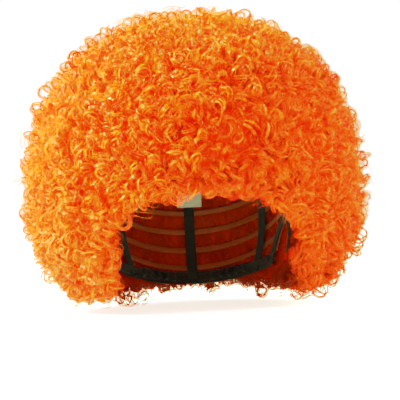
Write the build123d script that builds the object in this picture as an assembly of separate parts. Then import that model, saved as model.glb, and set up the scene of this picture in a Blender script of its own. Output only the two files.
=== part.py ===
"""Curly costume wig: a ventilated machine-made cap that carries rows of sewn weft and one big round mass of curls.

Frame: +Z up, the face opening looks along -Y, the wearer's left is +X. The origin is the centre of the head cavity,
one cap half-height below the top of the cap. Millimetres.
"""
from build123d import *
import os
from math import cos, radians, sin

# ---- Driving dimensions -------------------------------------------------------------------------------------------
CAP_HALF_WIDTH = 79.5      # outside of the cap, ear to ear
CAP_HALF_LENGTH = 99.5     # outside of the cap, forehead to back of the head
CAP_HALF_HEIGHT = 96.5     # outside of the cap, origin to top
BALL = 100.0               # working ball that is stretched to the three cap sizes above

HAIR_RADIUS = 139.0        # plan radius of the mass of curls
HAIR_TOP = 166.0           # top of the curls above the origin
HAIR_WAIST = 14.0          # height at which the curls are widest
HAIR_DROP = 107.0          # the lower half would close this far below the waist
HAIR_FOOT = -65.0          # flat underside on which the wig stands
HAIR_SHIFT = 5.0           # the curls sit this far towards the back
HAIR_SQUARENESS = 2.3      # superellipse exponent: 2 is a plain ellipse, more is fuller at the shoulders

ROWS = 9                   # weft rows round the crown
CROWN_TILT = 30.0          # the crown swirl lies this many degrees behind the top
FIRST_ROW = 12.0           # angle of the first weft row from the swirl, degrees
ROW_STEP = 9.5             # angle between rows, degrees
ROW_GAP = 0.15             # half the angle left free between the hair of two rows
WEFT_HALF_ANGLE = 1.5      # half height of a weft header, degrees
TAPE_WIDTH = 12.0          # binding tape round the edge of the cap
STRAP_WIDTH = 9.0          # elastic straps that carry the open rows
WEFT_WIDTH = 5.0           # weft headers that follow the edge of the cap
SEAM_GAP = 0.3             # clearance between pieces that lie side by side

# Layers of the cap as radii on the working ball, from the lining outwards
TACK_LAYER = (96.4, 97.3)
STRAP_LAYER = (97.5, 98.7)
CAP_LAYER = (98.9, 100.0)
WEFT_LAYER = (100.2, 102.6)
HAIR_BASE = 102.9

# Edge of the cap in the side view: a plane through a point (y, z) with a normal (y, z) into the cap
FRONT_EDGE = ((-83.0, 50.0), (0.838, 0.546))
NAPE_EDGE = ((75.0, -60.0), (0.323, 0.947))
EAR_CENTRE = (8.0, -30.0)
EAR_RADIUS = 27.0
EAR_BINDING_WIDTH = 7.6
NET_EDGE = 44.0            # the crown net ends here, and the ring tape starts
RING_TAPE_WIDTH = 8.0
TAB_FOLD = -7.2            # height of the fold of the ear tabs
TAB_FOLD_GAP = 1.2         # half the soft gap at the fold
TAB_FOOT = -34.0

# Straps: name -> (azimuth from the front in degrees, height of the lower bar tack)
STRAPS = {
    "strap_back_centre": (180.0, -51.0),
    "strap_back_left": (135.0, -40.5),
    "strap_back_right": (-135.0, -40.5),
    "strap_side_left": (90.0, 3.0),
    "strap_side_right": (-90.0, 3.0),
    "strap_temple_left": (52.0, 11.0),
    "strap_temple_right": (-52.0, 11.0),
}
STRAP_TOP = 47.0
TACK_SIZE = (6.0, 1.8)     # bar tack: across the strap, along the strap

# Nape adjusters (left side; the right one is mirrored)
LADDER_INNER_END = (14.7, 76.2, -55.0)
LADDER_OUTER_END = (47.8, 58.1, -47.5)
LADDER_TAPE = (10.0, 0.7)  # width, thickness
LOOP_PITCH = 7.5
LOOPS = 5
LOOP_CLEAR = (6.8, 2.2)    # inside width and height of a loop
LOOP_WALL = 0.7
LOOP_LENGTH = 2.4
TONGUE_SIZE = (15.0, 5.0, 0.9)
TONGUE_TIP_AT_REST = 12.0  # from the inner end of the ladder
ELASTIC_SIZE = (5.0, 1.0)
ELASTIC_ANCHOR = (62.3, 38.0, -41.0)
ELASTIC_BEND = 37.0        # the elastic leaves the line of the ladder here

LABEL_SIZE = (22.0, 0.6, 32.0)
LABEL_TOP = (0.0, 86.6, 38.0)

FAR = 400.0


# ---- Working shapes -----------------------------------------------------------------------------------------------
def ball(radius):
    """The head shape at one layer: the working ball stretched to the cap's three sizes."""
    stretch = (CAP_HALF_WIDTH / BALL, CAP_HALF_LENGTH / BALL, CAP_HALF_HEIGHT / BALL)
    return Sphere(radius).rotate(Axis.Z, -90).scale(stretch)


def layer(radii):
    """A closed shell between two radii of the working ball."""
    return ball(radii[1]) - ball(radii[0])


def slab(edge, low, high):
    """Everything between two distances from an edge plane that is square to the side view."""
    (y, z), (ny, nz) = edge
    plane = Plane(origin=(0, y, z), x_dir=(1, 0, 0), z_dir=(0, ny, nz))
    return plane * Pos(0, 0, (low + high) / 2) * Box(FAR, FAR, high - low)


def between_heights(low, high):
    return Pos(0, 0, (low + high) / 2) * Box(FAR, FAR, high - low)


def behind(y):
    return Pos(0, y + FAR / 2, 0) * Box(FAR, FAR, FAR)


def side(sign):
    """The wearer's left for 1, the right for -1."""
    return Pos(sign * FAR / 2, 0, 0) * Box(FAR, FAR, FAR)


def ear_hole(extra=0.0):
    y, z = EAR_CENTRE
    return Pos(0, y, z) * Rot(0, 90, 0) * Cylinder(EAR_RADIUS + extra, FAR)


def cone_band(first, last):
    """All directions between two angles from the crown swirl, as a ring of wedge section."""
    near, away = 40.0, 300.0
    corners = [
        (r * sin(radians(a)), r * cos(radians(a)))
        for r, a in ((near, first), (away, first), (away, last), (near, last))
    ]
    wedge = make_face(Plane.XZ * Polyline(*corners, close=True))
    return revolve(wedge, Axis.Z).rotate(Axis.X, -CROWN_TILT)


def near_nape(width):
    """A strip along the lower edge at the back, and all that lies lower than the ears further forward."""
    strip = slab(NAPE_EDGE, -FAR, width) & behind(EAR_CENTRE[0])
    return strip + (between_heights(-FAR, EAR_CENTRE[1]) - behind(EAR_CENTRE[0]))


def inside_edges(shape, margin):
    """Trims a layer to the cap's outline, this far inside the edge all round."""
    shape = shape & slab(FRONT_EDGE, margin, FAR)
    return shape - near_nape(margin) - ear_hole(min(margin, EAR_BINDING_WIDTH))


def ear_arch(radii, low, high, margin):
    """A strip of one layer that follows the ear cut-outs between two distances from their edge."""
    arch = layer(radii) & (ear_hole(high) - ear_hole(low))
    return above_tabs(arch) & slab(FRONT_EDGE, margin, FAR) - near_nape(margin)


def above_tabs(shape):
    """Leaves out what lies below the fold of the ear tabs, in front of the ears."""
    low = between_heights(-FAR, TAB_FOLD + TAB_FOLD_GAP) - behind(EAR_CENTRE[0])
    return shape - low


def along_front(radii, low, high):
    """A strip of one layer that follows the front edge, down to the folds of the ear tabs."""
    ring = layer(radii) & between_heights(TAB_FOLD + TAB_FOLD_GAP, FAR)
    return ring & slab(FRONT_EDGE, low, high) - behind(EAR_CENTRE[0])


def row_angle(number):
    return FIRST_ROW + ROW_STEP * (number - 1)


# ---- Cap ----------------------------------------------------------------------------------------------------------
def crown_net():
    net = layer(CAP_LAYER) & between_heights(NET_EDGE, FAR)
    return net & slab(FRONT_EDGE, TAPE_WIDTH + SEAM_GAP, FAR)


def crown_ring_tape():
    ring = layer(CAP_LAYER) & between_heights(NET_EDGE - RING_TAPE_WIDTH, NET_EDGE - SEAM_GAP)
    return ring & slab(FRONT_EDGE, TAPE_WIDTH + SEAM_GAP, FAR)


def front_band():
    return along_front(CAP_LAYER, 0, TAPE_WIDTH)


def ear_binding(sign):
    """Narrow binding over the ear, from the front band to the nape band."""
    return ear_arch(CAP_LAYER, 0, EAR_BINDING_WIDTH, TAPE_WIDTH + SEAM_GAP) & side(sign)


def nape_band():
    band = layer(CAP_LAYER) & slab(NAPE_EDGE, 0, TAPE_WIDTH) & behind(EAR_CENTRE[0])
    return band - ear_hole()


def ear_tab(sign):
    tab = layer(CAP_LAYER) & slab(FRONT_EDGE, 0, FAR)
    tab = tab & between_heights(TAB_FOOT, TAB_FOLD - TAB_FOLD_GAP) & side(sign)
    return tab - ear_hole() - behind(EAR_CENTRE[0])


def upright(azimuth, half_width):
    """A half slab through the upright axis, towards one azimuth from the front."""
    return Rot(0, 0, azimuth) * Pos(0, -FAR / 2, 0) * Box(2 * half_width, FAR, FAR)


def strap(azimuth):
    tape = layer(STRAP_LAYER) & upright(azimuth, STRAP_WIDTH / 2) & between_heights(-FAR, STRAP_TOP)
    return inside_edges(tape, 0.5)


def bar_tacks():
    """Dense stitches that hold both ends of every strap, as separate small solids."""
    across, along = TACK_SIZE
    lining = layer(TACK_LAYER)
    tacks = []
    for azimuth, foot in STRAPS.values():
        for height in (NET_EDGE - RING_TAPE_WIDTH / 2, foot):
            place = upright(azimuth, across / 2) & between_heights(height, height + along)
            tacks += (lining & place).solids()
    return Compound(children=tacks)


# ---- Wefts --------------------------------------------------------------------------------------------------------
def crown_patch():
    """Small felt disc that closes the swirl."""
    return layer(WEFT_LAYER) & cone_band(0.0, FIRST_ROW - 2 * WEFT_HALF_ANGLE)


def weft_row(number):
    angle = row_angle(number)
    header = layer(WEFT_LAYER) & cone_band(angle - WEFT_HALF_ANGLE, angle + WEFT_HALF_ANGLE)
    return inside_edges(header, TAPE_WIDTH)


def weft_front():
    low = (TAPE_WIDTH - WEFT_WIDTH) / 2
    return along_front(WEFT_LAYER, low, low + WEFT_WIDTH)


def weft_nape():
    low = (TAPE_WIDTH - WEFT_WIDTH) / 2
    header = layer(WEFT_LAYER) & slab(NAPE_EDGE, low, low + WEFT_WIDTH) & behind(EAR_CENTRE[0])
    return header - ear_hole(2.0)


def weft_ear(sign):
    return ear_arch(WEFT_LAYER, 1.0, 1.0 + WEFT_WIDTH, TAPE_WIDTH) & side(sign)


# ---- Hair ---------------------------------------------------------------------------------------------------------
FACE_HALF_WIDTH = 75.0
FACE_ARCH_RISE = 37.0
FACE_ARCH_BASE = -19.0     # height at which the opening reaches its full width
FACE_DEPTH = -18.0         # the cheeks are clear of hair in front of this
NECK_RADII = (77.0, 62.0)
NECK_SHIFT = -10.0
FRINGE_HALF_WIDTH = 62.0
FRINGE_BACK = -40.0
OUTLINE_STEPS = 12


def hair_outline():
    """The mass of curls as one turned shape: two superellipse quarters that meet at the waist."""
    power = 2 / HAIR_SQUARENESS
    points = []
    for step in range(OUTLINE_STEPS + 1):
        angle = radians(90 - 180 * step / OUTLINE_STEPS)
        reach = HAIR_TOP - HAIR_WAIST if angle > 0 else -HAIR_DROP
        points.append((HAIR_RADIUS * abs(cos(angle)) ** power, HAIR_WAIST + reach * abs(sin(angle)) ** power))
    points[0] = (0, HAIR_TOP)
    points[-1] = (0, HAIR_WAIST - HAIR_DROP)
    outline = Spline(*points, tangents=[(1, 0), (-1, 0)])
    section = make_face(Plane.XZ * (outline + Line(points[-1], points[0])))
    return Pos(0, HAIR_SHIFT, 0) * revolve(section, Axis.Z)


def head_space():
    """What the hair leaves free: the head, the neck and the face opening."""
    neck = Pos(0, NECK_SHIFT, -FAR / 2) * extrude(Ellipse(*NECK_RADII), FAR / 2)
    arch = Pos(0, 0, FACE_ARCH_BASE) * Rot(90, 0, 0) * Ellipse(FACE_HALF_WIDTH, FACE_ARCH_RISE)
    opening = extrude(arch, FAR / 2, dir=(0, -1, 0))
    drop = FAR / 2
    opening += Pos(0, -FAR / 4, FACE_ARCH_BASE - drop / 2) * Box(2 * FACE_HALF_WIDTH, FAR / 2, drop)
    return ball(HAIR_BASE) + neck + Pos(0, FACE_DEPTH, 0) * opening


def fringe_space(extra=0.0):
    """Where the fringe hangs in front of the forehead."""
    half = FRINGE_HALF_WIDTH + extra
    return Pos(0, FRINGE_BACK + extra - FAR / 2, 0) * Box(2 * half, FAR, FAR)


def hair_pieces():
    """One solid of curls for each weft row, cut apart by cones round the crown swirl."""
    mass = hair_outline() - head_space()
    mass = mass & between_heights(HAIR_FOOT, FAR)
    half = ROW_STEP / 2
    pieces = {"hair_crown": mass & cone_band(0.0, FIRST_ROW - half - ROW_GAP)}
    for number in range(1, ROWS + 1):
        angle = row_angle(number)
        pieces[f"hair_row_{number:02d}"] = mass & cone_band(angle - half + ROW_GAP, angle + half - ROW_GAP)
    edge = row_angle(ROWS) + half
    pieces["hair_fringe"] = mass & cone_band(edge + ROW_GAP, 179.0) & fringe_space()
    rest = mass - fringe_space(SEAM_GAP)
    for number in (ROWS + 1, ROWS + 2):
        angle = row_angle(number)
        pieces[f"hair_row_{number:02d}"] = rest & cone_band(angle - half + ROW_GAP, angle + half - ROW_GAP)
    lobes = rest & cone_band(row_angle(ROWS + 2) + half + ROW_GAP, 179.0)
    pieces["hair_lobe_left"] = lobes & side(1)
    pieces["hair_lobe_right"] = lobes & side(-1)
    return pieces


# ---- Nape adjusters and label -------------------------------------------------------------------------------------
def ladder_plane():
    """Origin at the inner end of the ladder, X along it towards the ear, Z into the head cavity."""
    start, end = Vector(*LADDER_INNER_END), Vector(*LADDER_OUTER_END)
    along = (end - start).normalized()
    middle = (start + end) * 0.5
    outward = Vector(
        middle.X / CAP_HALF_WIDTH**2, middle.Y / CAP_HALF_LENGTH**2, middle.Z / CAP_HALF_HEIGHT**2
    )
    inward = (along * outward.dot(along) - outward).normalized()
    return Plane(origin=start, x_dir=along, z_dir=inward)


def loop_ladder():
    """Narrow tape with a row of loops that the tongue passes under."""
    width, thickness = LADDER_TAPE
    length = (Vector(*LADDER_OUTER_END) - Vector(*LADDER_INNER_END)).length
    ladder = Pos(length / 2, 0, thickness / 2) * Box(length, width, thickness)
    clear_width, clear_height = LOOP_CLEAR
    for number in range(LOOPS):
        place = Pos(length / 2 + (number - (LOOPS - 1) / 2) * LOOP_PITCH, 0, thickness)
        outer = Box(LOOP_LENGTH, clear_width + 2 * LOOP_WALL, clear_height + LOOP_WALL, align=LOW)
        inner = Box(2 * LOOP_LENGTH, clear_width, clear_height, align=LOW)
        ladder += place * (fillet(outer.edges().filter_by(Axis.X).group_by(Axis.Z)[-1], 1.0) - inner)
    return ladder_plane() * ladder


def tongue_height():
    """Middle of the tongue above the back of the ladder, half way up the loops."""
    return LADDER_TAPE[1] + LOOP_CLEAR[1] / 2


def adjuster_tongue():
    """Flat plastic hook: a rounded tongue with a small barb and an eye for the elastic."""
    length, width, thickness = TONGUE_SIZE
    plate = extrude(RectangleRounded(length, width, width * 0.42), thickness / 2, both=True)
    barb = Pos(-length / 2 + 2.4, 0, thickness / 2) * Rot(90, 0, 0) * Cylinder(0.45, width * 0.6)
    eye = Pos(length / 2 - 2.4, 0, 0) * Box(1.6, width * 0.55, 2 * thickness)
    place = Pos(TONGUE_TIP_AT_REST + length / 2, 0, tongue_height())
    return ladder_plane() * place * (plate + barb - eye)


def adjuster_elastic():
    """Flat elastic from behind the ear to the eye of the tongue."""
    width, thickness = ELASTIC_SIZE
    plane = ladder_plane()
    start = plane.from_local_coords(Vector(TONGUE_TIP_AT_REST + TONGUE_SIZE[0] + 0.4, 0, tongue_height()))
    bend = plane.from_local_coords(Vector(ELASTIC_BEND, 0, tongue_height()))
    end = Vector(*ELASTIC_ANCHOR)
    path = Spline(start, bend, end, tangents=[plane.x_dir, (0.5, -0.85, 0.1)])
    section = Plane(origin=start, x_dir=plane.y_dir, z_dir=plane.x_dir) * Rectangle(width, thickness)
    return sweep(section, path, is_frenet=False)


def care_label():
    """Blank folded satin label that hangs from the back of the crown."""
    width, thickness, length = LABEL_SIZE
    x, y, z = LABEL_TOP
    return Pos(x, y, z - length / 2) * Box(width, thickness, length)


def mirrored(shape):
    return mirror(shape, about=Plane.YZ)


LOW = (Align.CENTER, Align.CENTER, Align.MIN)


def build():
    parts = {
        "crown_net": crown_net(),
        "crown_ring_tape": crown_ring_tape(),
        "crown_patch": crown_patch(),
        "front_band": front_band(),
        "nape_band": nape_band(),
        "bar_tacks": bar_tacks(),
        "weft_front": weft_front(),
        "weft_nape": weft_nape(),
        "care_label": care_label(),
    }
    for number in range(1, ROWS + 1):
        parts[f"weft_row_{number:02d}"] = weft_row(number)
    for name, (azimuth, _) in STRAPS.items():
        parts[name] = strap(azimuth)
    for name, sign in (("left", 1), ("right", -1)):
        parts[f"ear_binding_{name}"] = ear_binding(sign)
        parts[f"ear_tab_{name}"] = ear_tab(sign)
        parts[f"weft_ear_{name}"] = weft_ear(sign)
    adjuster = {
        "loop_ladder": loop_ladder(),
        "adjuster_tongue": adjuster_tongue(),
        "adjuster_elastic": adjuster_elastic(),
    }
    for name, shape in adjuster.items():
        parts[f"{name}_left"] = shape
        parts[f"{name}_right"] = mirrored(shape)
    parts.update(hair_pieces())
    return parts


os.makedirs("parts", exist_ok=True)
for name, shape in build().items():
    export_step(shape, f"parts/{name}.step")
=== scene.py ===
import math

import bpy
import numpy as np
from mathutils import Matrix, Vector
from mathutils.kdtree import KDTree


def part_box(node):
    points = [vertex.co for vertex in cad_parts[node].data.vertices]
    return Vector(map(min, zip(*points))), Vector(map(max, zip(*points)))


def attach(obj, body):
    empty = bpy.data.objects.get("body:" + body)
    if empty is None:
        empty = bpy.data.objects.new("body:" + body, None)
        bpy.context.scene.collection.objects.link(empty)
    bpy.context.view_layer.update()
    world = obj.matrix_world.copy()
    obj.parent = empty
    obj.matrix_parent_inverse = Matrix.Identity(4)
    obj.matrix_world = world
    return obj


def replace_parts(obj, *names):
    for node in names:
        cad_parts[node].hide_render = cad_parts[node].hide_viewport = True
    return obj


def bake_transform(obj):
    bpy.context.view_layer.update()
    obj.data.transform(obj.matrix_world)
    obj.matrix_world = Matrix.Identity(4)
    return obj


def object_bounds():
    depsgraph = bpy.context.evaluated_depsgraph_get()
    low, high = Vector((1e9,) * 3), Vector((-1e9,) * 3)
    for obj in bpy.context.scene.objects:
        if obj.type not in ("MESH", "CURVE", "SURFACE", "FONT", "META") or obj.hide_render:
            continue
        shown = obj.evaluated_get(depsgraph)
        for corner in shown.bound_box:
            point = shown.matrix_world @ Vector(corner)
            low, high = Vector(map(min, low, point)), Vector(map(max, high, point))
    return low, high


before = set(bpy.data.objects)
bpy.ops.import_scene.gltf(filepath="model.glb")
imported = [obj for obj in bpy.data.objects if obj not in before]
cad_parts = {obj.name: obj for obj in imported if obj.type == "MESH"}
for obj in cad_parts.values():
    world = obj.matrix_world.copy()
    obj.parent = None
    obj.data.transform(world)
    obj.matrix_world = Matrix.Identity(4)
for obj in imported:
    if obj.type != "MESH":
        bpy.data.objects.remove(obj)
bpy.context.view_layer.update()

MM = 0.001
TAU = 2 * math.pi
STRAND_SIDES, THREAD_SIDES, UV_COLUMNS = 3, 4, 4

# ---- Shape of the wig, in millimetres, as in the CAD model ----------------------------------------
CAP = np.array([0.795, 0.995, 0.965])      # cap layers are balls of radius about 100 stretched by these
CAP_MID, STRAP_MID, WEFT_MID, HAIR_BASE = 99.45, 98.1, 101.4, 102.9
HEAD_SPACE, NAPE_FOOT = 99.2, -61.0         # no strand enters this layer above this height
# The round mass of curls
HAIR_RADIUS, HAIR_TOP, HAIR_WAIST, HAIR_DROP, HAIR_FOOT = 139.0, 166.0, 14.0, 107.0, -65.0
HAIR_SHIFT, HAIR_POWER = 5.0, 2.3
# The arch over the face and the opening at the neck
FACE_HALF, FACE_RISE, FACE_BASE, FACE_DEPTH = 75.0, 37.0, -19.0, -18.0
NECK_HALF_WIDTH, NECK_HALF_DEPTH, NECK_Y = 77.0, 62.0, -10.0
# Rows of weft circle the crown, which is tilted back; the fringe is the part over the face
CROWN_TILT, FIRST_ROW, ROW_STEP, WEFT_ROWS, HAIR_ROWS = math.radians(30), 12.0, 9.5, 9, 11
CROWN_AXIS = np.array([0, math.sin(CROWN_TILT), math.cos(CROWN_TILT)])
FRINGE_HALF, FRINGE_BACK = 62.0, -40.0
# Edges of the cap: a point on each, and the direction into the cap
FRONT_EDGE = (np.array([0, -83.0, 50.0]), np.array([0, 0.838, 0.546]))
NAPE_EDGE = (np.array([0, 75.0, -60.0]), np.array([0, 0.323, 0.947]))
EAR_Y, EAR_Z, EAR_RADIUS, EAR_BINDING = 8.0, -30.0, 27.0, 7.6
FOLD_Z, FOLD_CLEARANCE, TAB_FOOT = -7.2, 1.2, -34.0
TAPE, STRAP_HALF, NET_EDGE, RING_TAPE = 12.0, 4.5, 44.0, 8.0


def unit(v):
    return v / np.maximum(np.linalg.norm(v, axis=-1, keepdims=True), 1e-9)


def outer_gap(p):
    """Roughly how far points lie outside the round mass of curls (negative inside)."""
    rho = np.hypot(p[..., 0], p[..., 1] - HAIR_SHIFT)
    rise = p[..., 2] - HAIR_WAIST
    rise = np.where(rise > 0, rise / (HAIR_TOP - HAIR_WAIST), -rise / HAIR_DROP)
    size = ((rho / HAIR_RADIUS) ** HAIR_POWER + rise ** HAIR_POWER) ** (1 / HAIR_POWER)
    return (size - 1) * HAIR_RADIUS


def cap_gap(p):
    """How far points lie outside the layer the hair starts from."""
    return (np.linalg.norm(p / CAP, axis=-1) - HAIR_BASE) * 0.9


def free_gap(p):
    """How far points lie outside the face opening and the neck opening."""
    x, y, z = p[..., 0], p[..., 1], p[..., 2]
    neck = np.maximum((np.hypot(x / NECK_HALF_WIDTH, (y - NECK_Y) / NECK_HALF_DEPTH) - 1) * 68, z)
    arch = (np.hypot(x / FACE_HALF, np.maximum(z - FACE_BASE, 0) / FACE_RISE) - 1) * 50
    return np.minimum(neck, np.maximum(arch, y - FACE_DEPTH))


def hair_gap(p):
    """Below zero inside the space the curls fill."""
    return np.maximum.reduce([outer_gap(p), -cap_gap(p), -free_gap(p), HAIR_FOOT - p[..., 2]])


def slope(field, p, step=0.5):
    """Direction in which a field grows fastest."""
    g = np.stack([(field(p + step * e) - field(p - step * e)) for e in np.eye(3)], -1)
    return unit(g)


def crown_angle(p):
    """Degrees between points and the axis of the crown."""
    return np.degrees(np.arccos(np.clip(unit(p) @ CROWN_AXIS, -1, 1)))


def hair_node(p):
    """Which CAD hair solid a point belongs to."""
    row = np.floor((crown_angle(p) - FIRST_ROW) / ROW_STEP + 0.5).astype(int) + 1
    row = np.clip(row, 0, HAIR_ROWS + 1)
    front = (np.abs(p[:, 0]) < FRINGE_HALF) & (p[:, 1] < FRINGE_BACK) & (row > WEFT_ROWS)
    rows = [f"hair_row_{n:02d}" for n in range(1, HAIR_ROWS + 1)]
    names = np.array(["hair_crown"] + rows + ["hair_lobe"], dtype=object)[row]
    names[front] = "hair_fringe"
    low = names == "hair_lobe"
    names[low] = np.where(p[low, 0] > 0, "hair_lobe_left", "hair_lobe_right")
    return names


def past(edge, p):
    """Distance of points into the cap from one of its two straight edges."""
    origin, direction = edge
    return ((p - origin) * direction).sum(-1) / np.linalg.norm(direction)


def ear_distance(p):
    """How far points lie outside the round cut-out for the ear."""
    return np.hypot(p[..., 1] - EAR_Y, p[..., 2] - EAR_Z) - EAR_RADIUS


def in_cap(p, margin):
    """True at least this far inside the cap's outline."""
    behind = p[..., 1] > EAR_Y
    low = np.where(behind, past(NAPE_EDGE, p) < margin, p[..., 2] < FOLD_Z + FOLD_CLEARANCE)
    return (past(FRONT_EDGE, p) > margin) & ~low & (ear_distance(p) > min(margin, EAR_BINDING))


# ---- Mesh building --------------------------------------------------------------------------------
def mesh_object(name, verts, faces, colours=None, uv=None):
    """A smooth object: verts in mm, faces as one array of quads or several of equal-sided faces."""
    groups = faces if isinstance(faces, (list, tuple)) else [faces]
    sizes = np.concatenate([np.full(len(f), f.shape[1]) for f in groups])
    loops = np.concatenate([f.ravel() for f in groups])
    mesh = bpy.data.meshes.new(name)
    mesh.vertices.add(len(verts))
    mesh.vertices.foreach_set("co", (np.asarray(verts) * MM).astype(np.float32).ravel())
    mesh.loops.add(len(loops))
    mesh.loops.foreach_set("vertex_index", loops.astype(np.int32))
    mesh.polygons.add(len(sizes))
    mesh.polygons.foreach_set("loop_start", (np.cumsum(sizes) - sizes).astype(np.int32))
    mesh.polygons.foreach_set("use_smooth", np.ones(len(sizes), bool))
    if uv is not None:
        layer = mesh.uv_layers.new(name="OFBake")
        layer.data.foreach_set("uv", uv.astype(np.float32).ravel())
    if colours is not None:
        # Per-point colour; on the strands it carries the painted shade deep in the mass.
        attribute = mesh.color_attributes.new("colour_and_painted_shade", "FLOAT_COLOR", "POINT")
        attribute.data.foreach_set("color", colours.astype(np.float32).ravel())
    mesh.update(calc_edges=True)
    mesh.validate()
    obj = bpy.data.objects.new(name, mesh)
    bpy.context.scene.collection.objects.link(obj)
    return obj


def tube_arrays(paths, radii, sides):
    """Closed tubes along many paths of equal length: (strands, points, 3). Returns verts, faces and uv."""
    n, k, _ = paths.shape
    tangent = unit(np.gradient(paths, axis=1))
    normal = np.empty_like(paths)
    normal[:, 0] = unit(np.cross(tangent[:, 0], np.array([0.31, 0.52, 0.79])))
    for i in range(1, k):
        previous = normal[:, i - 1]
        normal[:, i] = unit(previous - (previous * tangent[:, i]).sum(-1, keepdims=True) * tangent[:, i])
    binormal = np.cross(tangent, normal)
    angle = np.arange(sides) * TAU / sides
    ring = normal[:, :, None] * np.cos(angle)[:, None] + binormal[:, :, None] * np.sin(angle)[:, None]
    verts = (paths[:, :, None] + ring * radii[:, :, None, None]).reshape(-1, 3)
    s = np.arange(sides)
    i, j = np.arange(n)[:, None, None], np.arange(k - 1)[None, :, None]
    base = (i * k + j) * sides
    after = (s + 1) % sides
    quads = np.stack([base + s, base + after, base + sides + after, base + sides + s], -1).reshape(-1, 4)
    starts = (np.arange(n) * k * sides)[:, None]
    caps = np.concatenate([starts + s[::-1], starts + (k - 1) * sides + s])
    rows = math.ceil(n / UV_COLUMNS)
    u0 = (np.arange(n) % UV_COLUMNS)[:, None, None]
    v0 = (np.arange(n) // UV_COLUMNS)[:, None, None]

    def spot(step, side):
        u = (u0 + 0.02 + 0.96 * step / (k - 1)) / UV_COLUMNS
        v = (v0 + 0.1 + 0.8 * side / sides) / rows
        return np.stack(np.broadcast_arrays(u, v), -1)

    uv = np.stack([spot(j, s), spot(j, s + 1), spot(j + 1, s + 1), spot(j + 1, s)], -2).reshape(-1, 2)
    ends = [spot(np.full((1, 1, 1), e), s[None, None, :]).reshape(-1, 2) for e in (0, k - 1)]
    return verts, [quads, caps], np.concatenate([uv] + ends)


# ---- Curls ----------------------------------------------------------------------------------------
rng = np.random.default_rng(7)

LUMP_SPACING, LOCK_SPACING, RING_SPACING, FRIZZ_SPACING = 25.0, 7.1, 11.5, 11.0
LOCK_STRANDS, RING_STRANDS, FRIZZ_STRANDS, POINTS = 9, 6, 2, 23
ON_OUTSIDE = -2.0                           # curls above this gap belong to the outer surface
DENT_X, DENT_Z, DENT_SIZE, DENT_DEPTH = -88.0, 126.0, 28.0, 6.0     # flatter curls high on the wearer's right
FLAT_SHARE = 0.38                           # locks that lie along the surface
FACES_PER_PIECE = 185000
# Deep red-orange painted shade inside the mass, orange at the surface, and the lightest locks
DEEP_PAINTED_SHADE = np.array([0.96, 0.034, 0.0])
BODY = np.array([0.98, 0.080, 0.0])
LIGHT = np.array([1.00, 0.165, 0.003])


def thin_out(points, spacing):
    """Keeps points that are at least this far apart, in their order."""
    cells, kept = {}, []
    keys = np.floor(points / spacing).astype(int)
    around = [(a, b, c) for a in (-1, 0, 1) for b in (-1, 0, 1) for c in (-1, 0, 1)]
    for index, (key, point) in enumerate(zip(map(tuple, keys), points)):
        near = [q for d in around for q in cells.get((key[0] + d[0], key[1] + d[1], key[2] + d[2]), ())]
        if all(((q - point) ** 2).sum() > spacing ** 2 for q in near):
            cells.setdefault(key, []).append(point)
            kept.append(index)
    return points[kept]


def skin_points(spacing, tries=260000):
    """Even points on the free surface of the curls: outside, openings, and inside where no cap lies."""
    low, high = np.array([-146, -141, -76]), np.array([146, 151, 170])
    p = rng.uniform(low, high, (tries, 3))
    p = p[np.abs(hair_gap(p)) < 5]
    for _ in range(4):
        p = p - slope(hair_gap, p) * hair_gap(p)[:, None]
    p = p[((cap_gap(p) > 4) | ~in_cap(p, -4)) & (np.abs(hair_gap(p)) < 1)]
    return thin_out(p, spacing)


def nearest(points, targets):
    """Index of the nearest target of each point, and its distance."""
    tree = KDTree(len(targets))
    for i, t in enumerate(targets):
        tree.insert(t, i)
    tree.balance()
    found = [tree.find(p) for p in points]
    return np.array([f[1] for f in found]), np.array([f[2] for f in found])


def basis(axis):
    """Two directions square to each axis and to each other."""
    helper = np.where(np.abs(axis[:, 2:3]) < 0.9, [[0, 0, 1.0]], [[1.0, 0, 0]])
    u = unit(np.cross(axis, helper))
    return u, np.cross(axis, u)


def helix_strands(centre, axis, radius, pitch, turns, strands, spread, tip=0.35, bend=2.5):
    """Ringlets: every lock is a bundle of strands that wind together round one axis."""
    n = len(centre)
    u, v = basis(axis)
    hand = rng.choice([-1.0, 1.0], n)
    phase = rng.uniform(0, TAU, n)
    lean = unit(rng.normal(size=(n, 3)))
    t = np.linspace(0, 1, POINTS)
    shape = (n, strands, 1)
    dr, dz = rng.normal(0, spread, shape), rng.normal(0, spread * 1.25, shape)
    dphi = rng.normal(0, 0.1, shape)
    splay = rng.normal(0, spread, shape)
    wave = [rng.uniform(0, TAU, shape) for _ in range(2)]
    angle = hand[:, None, None] * (TAU * turns[:, None, None] * t + dphi) + phase[:, None, None]
    shrink = 1 - tip * np.clip((t - 0.7) / 0.3, 0, 1) ** 1.5
    wide = (radius[:, None, None] * (1 + 0.1 * np.sin(TAU * 1.3 * t + wave[0]))) * shrink
    wide = wide + dr + splay * 1.2 * np.clip((t - 0.75) / 0.25, 0, 1)
    rise = (t - 0.5) * (pitch * turns)[:, None, None] + dz + 0.3 * np.sin(TAU * 2.1 * t + wave[1])
    path = centre[:, None, None] + axis[:, None, None] * rise[..., None]
    spoke = u[:, None, None] * np.cos(angle)[..., None] + v[:, None, None] * np.sin(angle)[..., None]
    path = path + spoke * wide[..., None]
    path = path + lean[:, None, None] * (bend * (4 * (t - 0.5) ** 2 - 0.3))[:, None]
    return path.reshape(n * strands, POINTS, 3)


lumps = skin_points(LUMP_SPACING, 60000)
dent = np.exp(-((lumps[:, 0] - DENT_X) ** 2 + (lumps[:, 2] - DENT_Z) ** 2) / (2 * DENT_SIZE ** 2))
lump_rise = rng.uniform(-2.0, 6.5, len(lumps)) - DENT_DEPTH * dent


def lump_gap(p):
    """Height of the cauliflower-like lumps the curls gather in, at each point, and the lump's index."""
    index, distance = nearest(p, lumps)
    return lump_rise[index] * (1 - (distance / LUMP_SPACING) ** 2 * 1.6) - 2.5, index


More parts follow.
